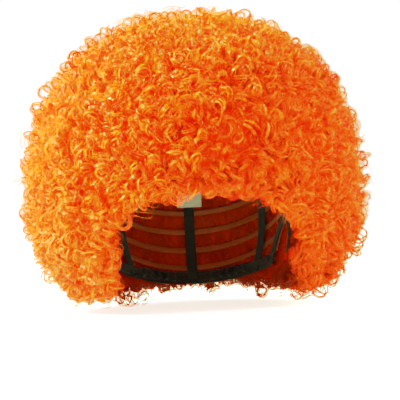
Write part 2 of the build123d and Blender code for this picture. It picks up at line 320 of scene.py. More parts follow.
def strand_colours(paths, strands_per_lock):
    """Deep red-orange painted shade inside the mass, orange at the surface, lighter on some locks."""
    flat_points = paths.reshape(-1, 3)
    # Painted shade: the further a point lies inside the mass, the more its colour turns to the deep
    # red-orange.
    depth = np.clip(-(outer_gap(flat_points) + 1) / 16, 0, 1).reshape(paths.shape[:2])
    locks = len(paths) // strands_per_lock
    warm = np.repeat(rng.beta(1.5, 3.2, locks), strands_per_lock)[:, None] * 0.7
    warm = np.clip(warm + rng.normal(0, 0.10, (len(paths), 1)), 0, 1)
    surface = BODY + (LIGHT - BODY) * warm[..., None]
    w = depth[..., None] ** 0.9
    colour = surface * (1 - w) + DEEP_PAINTED_SHADE * w
    return np.concatenate([np.clip(colour, 0, 1), np.ones(paths.shape[:2] + (1,))], -1)


def hair_group(paths, radii, starts, strands):
    """Paths, radii, colours, CAD node and angle round the head of every strand; strands share a start."""
    angle_round = np.arctan2(starts[:, 0], -starts[:, 1])
    return (paths, radii, strand_colours(paths, strands), np.repeat(hair_node(starts), strands),
            np.repeat(angle_round, strands))


def ringlets():
    """The locks: two thirds stand up from the surface, the others lie along it."""
    roots = skin_points(LOCK_SPACING)
    height, lump = lump_gap(roots)
    normal = slope(hair_gap, roots)
    height = np.where(outer_gap(roots) > ON_OUTSIDE, height, -3.0)
    fan = (roots - lumps[lump]) / LUMP_SPACING
    n = len(roots)
    flat = rng.random(n) > 1 - FLAT_SHARE
    axis_up = unit(normal + 0.55 * fan + 0.4 * rng.normal(size=(n, 3)) + [0, 0, -0.2])
    along = rng.normal(size=(n, 3)) + [0, 0, -0.6]
    axis_flat = unit(along - (along * normal).sum(-1, keepdims=True) * normal + 0.15 * normal)
    axis = np.where(flat[:, None], axis_flat, axis_up)
    radius = rng.uniform(3.2, 6.0, n)
    pitch = rng.uniform(5.0, 8.5, n)
    turns = rng.uniform(1.8, 2.9, n)
    reach = np.where(flat, radius, pitch * turns * 0.5)
    centre = roots + normal * (height - reach + np.where(flat, 0.5, 1.5) + rng.normal(0, 1.2, n))[:, None]
    paths = helix_strands(centre, axis, radius, pitch, turns, LOCK_STRANDS, 1.15)
    thick = np.repeat(rng.uniform(0.17, 0.25, n), LOCK_STRANDS) * rng.uniform(0.8, 1.2, n * LOCK_STRANDS)
    taper = 1 - 0.55 * np.clip((np.linspace(0, 1, POINTS) - 0.8) / 0.2, 0, 1)
    return hair_group(paths, thick[:, None] * taper, roots, LOCK_STRANDS)


def loose_rings():
    """Single open ringlets that stand half out of the mass, so that the outline shows their loops."""
    starts = skin_points(RING_SPACING, 120000)
    starts = starts[outer_gap(starts) > ON_OUTSIDE]
    n = len(starts)
    normal = slope(hair_gap, starts)
    sideways = rng.normal(size=(n, 3))
    sideways = sideways - (sideways * normal).sum(-1, keepdims=True) * normal
    axis = unit(unit(sideways) + rng.normal(0, 0.35, (n, 3)))
    size = rng.uniform(3.2, 6.2, n)
    lift = rng.uniform(-0.8, 0.75, n) * size
    rings = helix_strands(starts + normal * lift[:, None], axis, size, rng.uniform(2, 5, n),
                          rng.uniform(1.1, 1.9, n), RING_STRANDS, 0.34, tip=0.15, bend=2.0)
    radii = np.repeat(rng.uniform(0.18, 0.26, n), RING_STRANDS)[:, None] * np.ones(POINTS)
    return hair_group(rings, radii, starts, RING_STRANDS)


def frizz():
    """Fine single fibres that soften the outline."""
    starts = skin_points(FRIZZ_SPACING, 120000)
    starts = starts[outer_gap(starts) > ON_OUTSIDE]
    n = len(starts)
    normal = slope(hair_gap, starts)
    axis = unit(normal + 0.9 * rng.normal(size=(n, 3)))
    reach = rng.uniform(1.0, 6.5, n)
    fine = helix_strands(starts + normal * (reach - 6)[:, None], axis, rng.uniform(2.5, 6.5, n),
                         rng.uniform(5, 11, n), rng.uniform(1.0, 2.2, n), FRIZZ_STRANDS, 1.6, bend=5)
    radii = np.repeat(rng.uniform(0.10, 0.15, n), FRIZZ_STRANDS)[:, None] * np.ones(POINTS)
    return hair_group(fine, radii, starts, FRIZZ_STRANDS)


def merge(*groups):
    """Joins groups of strands, without the ones that poke into the head space."""
    joined = [np.concatenate(parts) for parts in zip(*groups)]
    inside = (np.linalg.norm(joined[0] / CAP, axis=-1) < HEAD_SPACE) & (joined[0][..., 2] > NAPE_FOOT)
    return [part[~inside.any(1)] for part in joined]


# ---- Materials ------------------------------------------------------------------------------------
def set_inputs(node, values):
    """Gives inputs of a node their values; an output socket is linked instead."""
    for key, value in values.items():
        if isinstance(value, bpy.types.NodeSocket):
            node.id_data.links.new(value, node.inputs[key])
        else:
            node.inputs[key].default_value = value


def add_node(tree, kind, values, **settings):
    """A new shader node with its settings, then its inputs."""
    node = tree.nodes.new("ShaderNode" + kind)
    for key, value in settings.items():
        setattr(node, key, value)
    set_inputs(node, values)
    return node


def material(name):
    """A new material, its node tree and its shader."""
    m = bpy.data.materials.new(name)
    m.use_nodes = True
    return m, m.node_tree, m.node_tree.nodes["Principled BSDF"]


def own_place(tree):
    """The object's own coordinates."""
    return add_node(tree, "TexCoord", {}).outputs["Object"]


def hair_material():
    """Dyed synthetic fibre: each strand's colour with its painted shade deep in the mass, and a gloss that
    varies along it.
    """
    m, tree, bsdf = material("curled_fibre")
    colour_and_painted_shade = add_node(tree, "Attribute", {}, attribute_name="colour_and_painted_shade")
    patches = add_node(tree, "TexNoise", {"Scale": 450, "Vector": own_place(tree)})
    gloss = add_node(tree, "MapRange", {"From Min": 0.3, "From Max": 0.7, "To Min": 0.12, "To Max": 0.34,
                                        "Value": patches.outputs["Fac"]})
    set_inputs(bsdf, {
        "Base Color": colour_and_painted_shade.outputs["Color"],
        "Roughness": gloss.outputs["Result"],
        "Subsurface Weight": 0.4,
        "Subsurface Radius": (1.0, 0.4, 0.15),
        "Subsurface Scale": 0.002,
        "IOR": 1.6,
        "Specular Tint": (1.0, 0.76, 0.4, 1),
    })
    return m


HAIR = hair_material()


def strand_piece(name, paths, radii, colours):
    """Strands as one piece that rides on the cap."""
    verts, faces, uv = tube_arrays(paths, radii, STRAND_SIDES)
    piece = mesh_object(name, verts, faces, np.repeat(colours, STRAND_SIDES, axis=1).reshape(-1, 4), uv)
    piece.data.materials.append(HAIR)
    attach(piece, "cap")
    return piece


def add_curls(paths, radii, colours, owner, angle_round):
    """The curls, in pieces by CAD node and, where there are many, by the angle round the head."""
    triangles = (paths.shape[1] - 1) * 2 * STRAND_SIDES + 2
    for node in sorted(set(owner)):
        chosen = np.flatnonzero(owner == node)
        chosen = chosen[np.argsort(angle_round[chosen], kind="stable")]
        parts = math.ceil(len(chosen) * triangles / FACES_PER_PIECE)
        for number, part in enumerate(np.array_split(chosen, parts)):
            tail = f"_{number + 1}" if parts > 1 else ""
            name = "curls_" + node.removeprefix("hair_") + tail
            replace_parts(strand_piece(name, paths[part], radii[part], colours[part]), node)


add_curls(*merge(ringlets(), loose_rings(), frizz()))


# ---- Packed hair under the curls -------------------------------------------------------------------
UNDER_STEP = math.radians(1.6)
UNDER_DEPTH, UNDER_LIFT, UNDER_INSET, UNDER_RAISE = 10.5, 1.2, 6.5, 7.0     # kept off the curls' free sides


def underlayer():
    """One thick shell of packed hair between the cap and the curls, open at the face and the neck."""
    polar = np.arange(0.5 * UNDER_STEP, math.pi, UNDER_STEP)
    turn = np.arange(0, TAU, TAU / round(TAU / UNDER_STEP))
    a, b = np.meshgrid(polar, turn, indexing="ij")
    d = np.stack([np.sin(a) * np.cos(b), np.sin(a) * np.sin(b), np.cos(a)], -1)
    reach = np.arange(70, 175, 0.75)
    first, last = np.zeros(a.shape), np.zeros(a.shape)
    for row in range(len(polar)):
        p = d[row][:, None] * reach[:, None]
        inside = (outer_gap(p) < -UNDER_DEPTH) & (cap_gap(p) > UNDER_LIFT) & (free_gap(p) > UNDER_INSET)
        inside = inside & (p[..., 2] > HAIR_FOOT + UNDER_RAISE)
        some = inside.any(1)
        first[row] = np.where(some, reach[inside.argmax(1)], 0)
        last[row] = np.where(some, reach[len(reach) - 1 - inside[:, ::-1].argmax(1)], 0)
    full = last - first > 2
    outer = d * last[..., None]
    x, y, z = np.moveaxis(outer / 4.2, -1, 0)
    bumps = np.sin(x + 1.7 * np.sin(y)) * np.sin(y + 1.3 * np.sin(z)) * np.sin(z + 1.9 * np.sin(x))
    outer = outer + d * (bumps * 1.6)[..., None]
    index = np.arange(a.size).reshape(a.shape)
    right = np.roll(index, -1, 1)
    full_right = np.roll(full, -1, 1)
    cell = full[:-1] & full[1:] & full_right[:-1] & full_right[1:]
    quad = np.stack([index[:-1], index[1:], right[1:], right[:-1]], -1)[cell]
    edges = dict.fromkeys(edge for face in quad.tolist() for edge in zip(face, face[1:] + face[:1]))
    rim = np.array([edge for edge in edges if edge[::-1] not in edges])
    walls = np.stack([rim[:, 1], rim[:, 0], rim[:, 0] + a.size, rim[:, 1] + a.size], -1)
    verts = np.concatenate([outer.reshape(-1, 3), (d * first[..., None]).reshape(-1, 3)])
    faces = np.concatenate([quad, quad[:, ::-1] + a.size, walls])
    used = np.unique(faces)
    renumber = np.zeros(len(verts), int)
    renumber[used] = np.arange(len(used))
    return mesh_object("hair_underlayer", verts[used], renumber[faces])


def packed_material():
    """Tangled fibre deep in the mass, in the deep red-orange of painted shade: streaks of colour and relief,
    no shine.
    """
    m, tree, bsdf = material("packed_fibre")
    noise = {"Scale": 300, "Detail": 4, "Distortion": 2.5, "Vector": own_place(tree)}
    fibre = add_node(tree, "TexNoise", noise).outputs["Fac"]
    # Painted shade: both reds are the dark red-orange of fibre in shade; the noise streaks between them are
    # the fibre's uneven tone.
    colours = {"A": (0.90, 0.028, 0.0, 1), "B": (0.97, 0.052, 0.0, 1), "Factor": fibre}
    shade = add_node(tree, "Mix", colours, data_type="RGBA")
    relief = add_node(tree, "Bump", {"Strength": 0.6, "Distance": 0.0008, "Height": fibre})
    set_inputs(bsdf, {
        "Base Color": shade.outputs["Result"],
        "Normal": relief.outputs["Normal"],
        "Roughness": 0.8,
        "Specular IOR Level": 0.0,
    })
    return m


under = underlayer()
under.data.materials.append(packed_material())
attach(under, "cap")


# ---- The cap: cloth, tapes and wefts that follow the head shape -------------------------------------
def outward(p):
    """Direction away from the head, square to the cap layers."""
    return unit(p / CAP ** 2)


def on_layer(direction, radius):
    """Where a direction from the centre meets a cap layer."""
    return direction * (radius / np.linalg.norm(direction / CAP, axis=-1, keepdims=True))


def sheet_arrays(grid, half, closed=False, normals=None):
    """A cloth strip: grid (length, width, 3) thickened both ways by half (length, width)."""
    length, width, _ = grid.shape
    normals = outward(grid) if normals is None else normals
    half = np.broadcast_to(half, (length, width))[..., None]
    verts = np.concatenate([(grid + normals * half).reshape(-1, 3), (grid - normals * half).reshape(-1, 3)])
    index = np.arange(length * width).reshape(length, width)
    rows = index if not closed else np.concatenate([index, index[:1]])
    a, b, c, d = rows[:-1, :-1], rows[1:, :-1], rows[1:, 1:], rows[:-1, 1:]
    top = np.stack([a, b, c, d], -1).reshape(-1, 4)
    total = length * width
    walls = [(edge[:-1], edge[1:], flip) for edge, flip in ((rows[:, 0], True), (rows[:, -1], False))]
    if not closed:
        walls += [(index[0, :-1], index[0, 1:], False), (index[-1, :-1], index[-1, 1:], True)]
    faces = [top, top[:, ::-1] + total]
    for one, two, flip in walls:
        wall = np.stack([one, two, two + total, one + total], -1)
        faces.append(wall[:, ::-1] if flip else wall)
    return verts, np.concatenate(faces)


def join_arrays(pieces):
    """Several (verts, faces) as one."""
    verts, faces, start = [], [], 0
    for v, f in pieces:
        verts.append(v)
        faces.append(f + start)
        start += len(v)
    return np.concatenate(verts), np.concatenate(faces)


def tube_strip(paths, radius):
    """Threads as closed tubes, one after the other."""
    arrays = []
    for path in paths:
        path = np.asarray(path)[None]
        verts, faces, _ = tube_arrays(path, np.full(path.shape[:2], radius), THREAD_SIDES)
        arrays.append((verts, np.concatenate(faces)))
    return join_arrays(arrays)


def cloth_piece(node, arrays, skin, body="cap"):
    """A soft piece that takes the place of a CAD node; with no body it is left unattached."""
    piece = mesh_object(node, *arrays)
    piece.data.materials.append(skin)
    if body:
        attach(piece, body)
    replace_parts(piece, node)
    return piece


def stitching(name, paths, radius, body):
    """Rows of sewing thread that ride on a body."""
    piece = mesh_object(name, *tube_strip(paths, radius))
    piece.data.materials.append(THREAD)
    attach(piece, body)


def profile(width, cords, thick, rim=0.45):
    """Half thickness across a tape: woven cords side by side and thinner edges."""
    across = np.linspace(-1, 1, width)
    ribs = 0.82 + 0.18 * np.abs(np.cos(across * cords * math.pi / 2))
    edge = 1 - (1 - rim) * np.clip((np.abs(across) - 0.86) / 0.14, 0, 1)
    return thick * ribs * edge


def band_grid(edge, offsets, radius, valid, back, steps):
    """Rows of points along a plane edge of the cap, one column for each offset from the edge."""
    origin, direction = edge
    scale = radius * CAP
    columns = []
    for offset in offsets:
        n = direction * scale
        size = np.linalg.norm(n)
        height = (offset * np.linalg.norm(direction) + origin @ direction) / size
        n = n / size
        span = math.sqrt(1 - height ** 2)
        e1 = np.cross(n, [1.0, 0, 0])
        if (e1[1] > 0) != back:
            e1 = -e1

        def point(angle):
            turned = np.cos(angle)[:, None] * e1 + np.sin(angle)[:, None] * np.array([1.0, 0, 0])
            return (height * n + span * turned) * scale

        search = np.linspace(0, math.pi, 4000)
        bad = np.flatnonzero(~valid(point(search)))
        end = search[bad[0] - 1] if len(bad) else math.pi
        columns.append(point(np.linspace(-end, end, steps)))
    return np.stack(columns, 1)


def cone_dirs(theta, phi):
    """Directions theta degrees from the crown axis and phi round it."""
    front = np.array([0, -math.cos(CROWN_TILT), math.sin(CROWN_TILT)])
    side_way = np.array([1.0, 0, 0])
    theta, phi = np.radians(theta)[..., None], phi[..., None]
    return np.cos(theta) * CROWN_AXIS + np.sin(theta) * (np.cos(phi) * front + np.sin(phi) * side_way)


def runs(mask):
    """Start and end of each stretch of True in a ring of samples."""
    n = len(mask)
    if mask.all():
        return [(0, n, True)]
    first = int(np.flatnonzero(~mask)[0])
    turned = np.roll(mask, -first)
    edges = np.flatnonzero(np.diff(np.concatenate([[False], turned, [False]]).astype(int)))
    return [(a + first, b + first, False) for a, b in zip(edges[::2], edges[1::2])]


def zigzag(line, across, reach, count):
    """A zigzag stitch along a line of points, reaching to both sides of it."""
    t = np.linspace(0, len(line) - 1, count)
    low = np.clip(t.astype(int), 0, len(line) - 2)
    f = (t - low)[:, None]
    points = line[low] * (1 - f) + line[low + 1] * f
    return points + across[low] * (reach * (1 - 2 * (np.arange(count) % 2)))[:, None]


# Materials of the cap
def cloth(name, colour, second, pitch, rough=0.8, bump=0.4, speckle=0.35):
    """Woven cloth: two crossing sets of threads, uneven colour and a raised weave."""
    m, tree, bsdf = material(name)
    place = own_place(tree)
    waves = []
    for turn in (0.0, math.pi / 2):
        spin = add_node(tree, "Mapping", {"Rotation": (0.5, turn, turn + 0.6), "Vector": place})
        spun = spin.outputs["Vector"]
        wave = {"Scale": 0.31 / (pitch * MM), "Distortion": 0.8, "Detail": 1.0, "Vector": spun}
        waves.append(add_node(tree, "TexWave", wave).outputs["Fac"])
    weave = add_node(tree, "Math", {0: waves[0], 1: waves[1]}, operation="MAXIMUM").outputs[0]
    noise = add_node(tree, "TexNoise", {"Scale": 260, "Detail": 3, "Vector": place})
    woven = add_node(tree, "Mix", {"A": (*second, 1), "B": (*colour, 1), "Factor": weave}, data_type="RGBA")
    colours = {"Factor": speckle, "A": woven.outputs["Result"], "B": noise.outputs["Color"]}
    worn = add_node(tree, "Mix", colours, data_type="RGBA", blend_type="MULTIPLY")
    relief = add_node(tree, "Bump", {"Strength": bump, "Distance": 0.25 * pitch * MM, "Height": weave})
    set_inputs(bsdf, {
        "Base Color": worn.outputs["Result"],
        "Normal": relief.outputs["Normal"],
        "Roughness": rough,
        "Sheen Weight": 0.25,
    })
    return m


BINDING = cloth("binding_tape", (0.060, 0.036, 0.026), (0.022, 0.012, 0.009), 0.6)
ELASTIC = cloth("strap_elastic", (0.050, 0.032, 0.026), (0.016, 0.010, 0.008), 0.9)
LINING = cloth("tab_cloth", (0.085, 0.050, 0.034), (0.030, 0.017, 0.012), 0.5)
NET = cloth("net_thread", (0.070, 0.038, 0.024), (0.030, 0.015, 0.010), 0.8, 0.7, 0.2)
THREAD = cloth("stitch_thread", (0.16, 0.085, 0.05), (0.07, 0.035, 0.02), 0.4, 0.6, 0.3)
HEADER = cloth("weft_header", (0.90, 0.15, 0.004), (0.62, 0.045, 0.0), 0.5, 0.5, 0.6)
FELT = cloth("felt", (0.80, 0.12, 0.004), (0.55, 0.05, 0.0), 1.3, 0.9, 0.8)
SATIN = cloth("label_satin", (0.92, 0.84, 0.80), (0.84, 0.75, 0.71), 0.35, 0.38, 0.15, 0.12)

TAPE_CLOTH, STITCH_RADIUS, SEAM_DEPTH = 0.5, 0.16, 0.52     # half thickness, and where a seam lies under it
TAPE_COLUMNS = np.linspace(0.15, TAPE - 0.15, 21)
SEAM_COLUMNS = (4, 16)
WEFT_COLUMNS = np.linspace(3.7, 8.3, 9)
FIBRE_PITCH, NET_PITCH = 0.75, 3.6


def above_fold(p):
    """The part of the front edge that the band covers."""
    return (p[:, 2] > FOLD_Z + FOLD_CLEARANCE) & (p[:, 1] < EAR_Y)


def behind_ear(p, gap):
    """The part of the nape edge that lies behind the ear's cut-out."""
    return (ear_distance(p) > gap) & (p[:, 1] > EAR_Y)


def tape_sheet(grid, cords):
    """Flat woven tape on a grid of points."""
    return sheet_arrays(grid, profile(grid.shape[1], cords, TAPE_CLOTH)[None])


def edge_band(name, edge, valid, back, steps):
    """Binding tape on an edge of the cap, with two zigzag seams on its inner side."""
    grid = band_grid(edge, TAPE_COLUMNS, CAP_MID, valid, back, steps)
    seams = []
    for column in SEAM_COLUMNS:
        line = grid[:, column] - outward(grid[:, column]) * SEAM_DEPTH
        across = unit(grid[:, column + 1] - grid[:, column - 1])
        seams.append(zigzag(line, across, 0.7, steps * 2))
    cloth_piece(name, tape_sheet(grid, 9), BINDING)
    stitching(name + "_seams", seams, STITCH_RADIUS, "cap")


def weft_arrays(grid, closed):
    """A sewn weft: a ridge of fibres that stand side by side under three rows of stitches."""
    length, width, _ = grid.shape
    fibres = 0.80 + 0.20 * np.cos(np.arange(length) * math.pi)[:, None]
    stitched = 1 - 0.3 * np.abs(np.sin(np.linspace(0, 3 * math.pi, width)))[None]
    edge = np.where((np.arange(width) == 0) | (np.arange(width) == width - 1), 0.55, 1.0)[None]
    return sheet_arrays(grid, fibres * stitched * edge, closed)


def weft_piece(name, arrays):
    cloth_piece(name, arrays, HEADER)


edge_band("front_band", FRONT_EDGE, above_fold, False, 150)
edge_band("nape_band", NAPE_EDGE, lambda p: behind_ear(p, 0.3), True, 110)
grid = band_grid(FRONT_EDGE, WEFT_COLUMNS, WEFT_MID, above_fold, False, 520)
weft_piece("weft_front", weft_arrays(grid, False))
grid = band_grid(NAPE_EDGE, WEFT_COLUMNS, WEFT_MID, lambda p: behind_ear(p, 2.2), True, 360)
weft_piece("weft_nape", weft_arrays(grid, False))


def ear_grid(sign, low, high, radius, margin, columns, steps):
    """Arc over the ear: one column for each distance from the edge of the cut-out."""
    grid = []
    for reach in np.linspace(low, high, columns):
        angle = np.linspace(-0.5 * math.pi, 1.5 * math.pi, 3000)
        y = EAR_Y + (EAR_RADIUS + reach) * np.cos(angle)
        z = EAR_Z + (EAR_RADIUS + reach) * np.sin(angle)
        inside = 1 - (y / (radius * CAP[1])) ** 2 - (z / (radius * CAP[2])) ** 2
        p = np.stack([sign * radius * CAP[0] * np.sqrt(np.maximum(inside, 0)), y, z], -1)
        low_end = np.where(y > EAR_Y, past(NAPE_EDGE, p) > margin, z > FOLD_Z + FOLD_CLEARANCE)
        keep = np.flatnonzero((past(FRONT_EDGE, p) > margin) & low_end)
        grid.append(p[np.linspace(keep[0], keep[-1], steps).astype(int)])
    return np.stack(grid, 1)


def ear_tab_piece(sign, side_name):
    """Soft two-layer tab in front of the ear. It starts under the front band and runs down across the fold
    line.
    """
    name = f"ear_tab_{side_name}"
    corner, direction = FRONT_EDGE
    rows = []
    for height in np.linspace(FOLD_Z + 1.6, TAB_FOOT + 0.2, 34):
        front = corner[1] - (height - corner[2]) * direction[2] / direction[1] + 0.2
        back = EAR_Y - math.sqrt(EAR_RADIUS ** 2 - (height - EAR_Z) ** 2) - 0.2
        y = np.linspace(front, back, 27)
        inside = 1 - (y / (CAP_MID * CAP[1])) ** 2 - (height / (CAP_MID * CAP[2])) ** 2
        rows.append(np.stack([sign * CAP_MID * CAP[0] * np.sqrt(inside), y, np.full(27, height)], -1))
    grid = np.stack(rows, 0)
    half = np.full(grid.shape[:2], TAPE_CLOTH)
    half[[0, -1]] *= 0.5
    half[:, [0, -1]] *= 0.5
    half[1:3] *= 0.75
    half[:, [2, -3]] *= 0.72
    half[-3] *= 0.72
    verts, faces = sheet_arrays(grid, half)
    faces = faces[:, ::-1] if sign > 0 else faces
    tab = cloth_piece(name, (verts, faces), LINING, None)
    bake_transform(tab)
    loop = np.concatenate([grid[5:-3, 3], grid[-4, 4:-3], grid[5:-3, -4][::-1]])
    stitching(name + "_stitching", [loop - outward(loop) * 0.45], STITCH_RADIUS, name)


for sign, side_name in ((1, "left"), (-1, "right")):
    arch = ear_grid(sign, 0.2, EAR_BINDING - 0.2, CAP_MID, TAPE + 0.4, 15, 60)
    cloth_piece(f"ear_binding_{side_name}", tape_sheet(arch, 6), BINDING)
    arch = ear_grid(sign, 1.2, 5.8, WEFT_MID, TAPE + 0.2, 9, 160)
    weft_piece(f"weft_ear_{side_name}", weft_arrays(arch, False))
    ear_tab_piece(sign, side_name)


def root_fibres(theta, phis, count):
    """Straight fibres that leave a weft header and run down behind the next row."""
    phi = rng.choice(phis, count) + rng.normal(0, 0.004, count)
    t = np.linspace(0, 1, 5)
    drop = theta + 0.8 + t[None] * rng.uniform(6.5, 9.0, (count, 1))
    slide = phi[:, None] + (t ** 1.5)[None] * rng.normal(0, 0.05, (count, 1))
    radius = WEFT_MID - 0.2 + t[None] * rng.uniform(2.0, 3.2, (count, 1)) + rng.uniform(0, 0.5, (count, 1))
    return on_layer(cone_dirs(drop, slide), radius[..., None])


def cone_sheet(theta, phi):
    """A grid on the wefts' layer: one row for each angle phi, one column for each theta."""
    theta, phi = np.broadcast_arrays(theta[None], phi[:, None])
    return on_layer(cone_dirs(theta, phi), WEFT_MID)


def weft_rows():
    """Closed and open rows of weft round the crown, with the fibres that start from them."""
    samples = 720
    ring = np.linspace(0, TAU, samples, endpoint=False)
    for number in range(1, WEFT_ROWS + 1):
        theta = FIRST_ROW + ROW_STEP * (number - 1)
        middle = on_layer(cone_dirs(np.full(samples, theta), ring), WEFT_MID)
        arrays, spots = [], []
        for start, stop, closed in runs(in_cap(middle, TAPE + 0.6)):
            phi0, phi1 = start * TAU / samples, (stop - (0 if closed else 1)) * TAU / samples
            length = np.linalg.norm(np.diff(middle[np.arange(start, stop) % samples], axis=0), axis=1).sum()
            steps = max(8, int(length / FIBRE_PITCH) // 2 * 2)
            phi = np.linspace(phi0, phi1, steps, endpoint=not closed)
            arrays.append(weft_arrays(cone_sheet(theta + np.linspace(-1.35, 1.35, 7), phi), closed))
            spots.append(phi)
        weft_piece(f"weft_row_{number:02d}", join_arrays(arrays))
        phis = np.concatenate(spots)
        fibres = root_fibres(theta, phis, int(len(phis) * 0.9))
        radii = np.full(fibres.shape[:2], 0.34)
        # The roots lie deep in the mass, so strand_colours gives them the deep red-orange painted shade.
        strand_piece(f"roots_row_{number:02d}", fibres, radii, strand_colours(fibres, 1))


weft_rows()


# Crown: ring tape, felt patch and a net
def level(angle):
    """Level directions at angles from straight ahead."""
    return np.stack([np.sin(angle), -np.cos(angle), 0 * angle], -1)


def at_height(direction, z, radius):
    """Where a level line in one direction meets a cap layer at height z."""
    a = ((direction[..., :2] / (radius * CAP[:2])) ** 2).sum(-1)
    reach = np.sqrt(np.maximum(1 - (z / (radius * CAP[2])) ** 2, 0) / a)
    flat = direction[..., :2] * reach[..., None]
    return np.concatenate([flat, np.broadcast_to(z, reach.shape)[..., None]], -1)


def crown_ring():
    """Tape round the lower edge of the crown net, from one end of the front band to the other."""
    samples = 400
    around = level(np.linspace(0, TAU, samples, endpoint=False))
    middle = at_height(around, NET_EDGE - RING_TAPE, CAP_MID)
    start, stop, _ = runs(past(FRONT_EDGE, middle) > TAPE + 1.8)[0]
    directions = level(np.linspace(start, stop - 1, 200) * TAU / samples)
    heights = np.linspace(NET_EDGE - 0.45, NET_EDGE - RING_TAPE + 0.15, 15)
    grid = np.stack([at_height(directions, z, CAP_MID) for z in heights], 1)
    cloth_piece("crown_ring_tape", tape_sheet(grid, 6), BINDING)


def crown_patch():
    """Round felt patch at the swirl."""
    tilt, spin = np.linspace(0.4, 8.8, 14), np.linspace(0, TAU, 60, endpoint=False)
    fluff = 0.8 + 0.2 * np.sin(7 * spin)[:, None] * np.sin(3 * tilt)[None]
    cloth_piece("crown_patch", sheet_arrays(cone_sheet(tilt, spin), fluff, True), FELT)


def net_threads():
    """Diamond net over the crown: two families of threads that cross, one lying a little outside the other.
    """
    paths = []
    span = np.linspace(-95, 95, 150)
    for family in (1, -1):
        for offset in np.arange(-130, 131, NET_PITCH):
            x = (offset + span * family) / math.sqrt(2)
            y = (span - offset * family) / math.sqrt(2)
            inside = 1 - (x / (CAP_MID * CAP[0])) ** 2 - (y / (CAP_MID * CAP[1])) ** 2
            z = CAP_MID * CAP[2] * np.sqrt(np.maximum(inside, 0))
            p = np.stack([x, y, z], -1)
            good = (inside > 0) & (z > NET_EDGE + 0.4) & (past(FRONT_EDGE, p) > TAPE + 0.6)
            for start, end, _ in runs(good) if good.any() else []:
                keep = np.arange(start, end) % len(span)
                if len(keep) > 4:
                    paths.append(p[keep] + outward(p[keep]) * (0.16 * family))
    return paths


crown_ring()
crown_patch()
cloth_piece("crown_net", tube_strip(net_threads(), 0.24), NET)

# Elastic straps and the bar tacks at their ends
STRAPS = {"back_centre": 180, "back_left": 135, "back_right": -135, "side_left": 90, "side_right": -90,
          "temple_left": 52, "temple_right": -52}


def strap_grid(name, azimuth):
    """A strap down the cap in the upright plane at one azimuth, between the heights of its CAD node."""
    low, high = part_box(name)
    z = np.linspace(high.z / MM - 0.2, low.z / MM + 0.4, 70)
    w = np.linspace(-STRAP_HALF + 0.1, STRAP_HALF - 0.1, 19)
    angle = math.radians(azimuth)
    ahead = np.array([math.sin(angle), -math.cos(angle)])
    across = np.array([math.cos(angle), math.sin(angle)])
    scale = STRAP_MID * CAP[:2]
    side_part = (across / scale)[None] * w[:, None]
    a = ((ahead / scale) ** 2).sum()
    b = (side_part * (ahead / scale)[None]).sum(-1)
    c = (side_part ** 2).sum(-1)[None] - (1 - (z / (STRAP_MID * CAP[2])) ** 2)[:, None]
    reach = (-b[None] + np.sqrt(b[None] ** 2 - a * c)) / a
    flat_xy = reach[..., None] * ahead + w[None, :, None] * across
    grid = np.concatenate([flat_xy, np.broadcast_to(z[:, None, None], reach.shape + (1,))], -1)
    return grid[in_cap(grid[:, 9], 0.4) | (z > 20)]


def cord_wave(count, depth, period=1):
    """Slight swell along a woven elastic, as a column."""
    return (1 - depth + depth * np.cos(np.arange(count) * math.pi / period))[:, None]


tacks = []
for strap_name, azimuth in STRAPS.items():
    grid = strap_grid("strap_" + strap_name, azimuth)
    verts, faces = sheet_arrays(grid, profile(19, 8, 0.55)[None] * cord_wave(len(grid), 0.06))
    cloth_piece("strap_" + strap_name, (verts, faces[:, ::-1]), ELASTIC)
    for end in (4, len(grid) - 5):
        spot = slice(max(end - 2, 0), end + 3)
        line = grid[spot, 9] - outward(grid[spot, 9]) * 0.75
        tacks.append(zigzag(line, unit(grid[spot, 12] - grid[spot, 6]), 3.0, 22))
cloth_piece("bar_tacks", tube_strip(tacks, 0.2), THREAD)

# Nape adjusters: the ladder's own frame runs along the loops, across them, and into the head
LADDER_START = np.array([14.7, 76.2, -55.0])
LADDER_END = np.array([47.8, 58.1, -47.5])
ALONG = unit(LADDER_END - LADDER_START)
LADDER_LENGTH = np.linalg.norm(LADDER_END - LADDER_START)
LADDER_OUT = unit((LADDER_START + LADDER_END) / 2 / CAP ** 2)
INWARD = unit(ALONG * (LADDER_OUT @ ALONG) - LADDER_OUT)
ACROSS = np.cross(INWARD, ALONG)
LOOPS, LOOP_PITCH, LOOP_LENGTH, LOOP_CLEAR, LOOP_HEIGHT, LOOP_WALL = 5, 7.5, 2.4, 6.8, 2.2, 0.7
LADDER_TAPE, LADDER_THICK = 10.0, 0.7
TONGUE_Z = LADDER_THICK + LOOP_HEIGHT / 2
ELASTIC_START, ELASTIC_BEND, ELASTIC_WIDTH = 27.4, 37.0, 5.0
ELASTIC_ANCHOR = np.array([62.3, 38.0, -41.0])


def from_ladder(local, sign):
    """Points of the left ladder's frame in the model, mirrored for the right side."""
    p = LADDER_START + local @ np.stack([ALONG, ACROSS, INWARD])
    return p * [sign, 1, 1]


def ladder_direction(local, sign):
    """Directions of the left ladder's frame in the model, mirrored for the right side."""
    return from_ladder(local, sign) - from_ladder(np.zeros(3), sign)


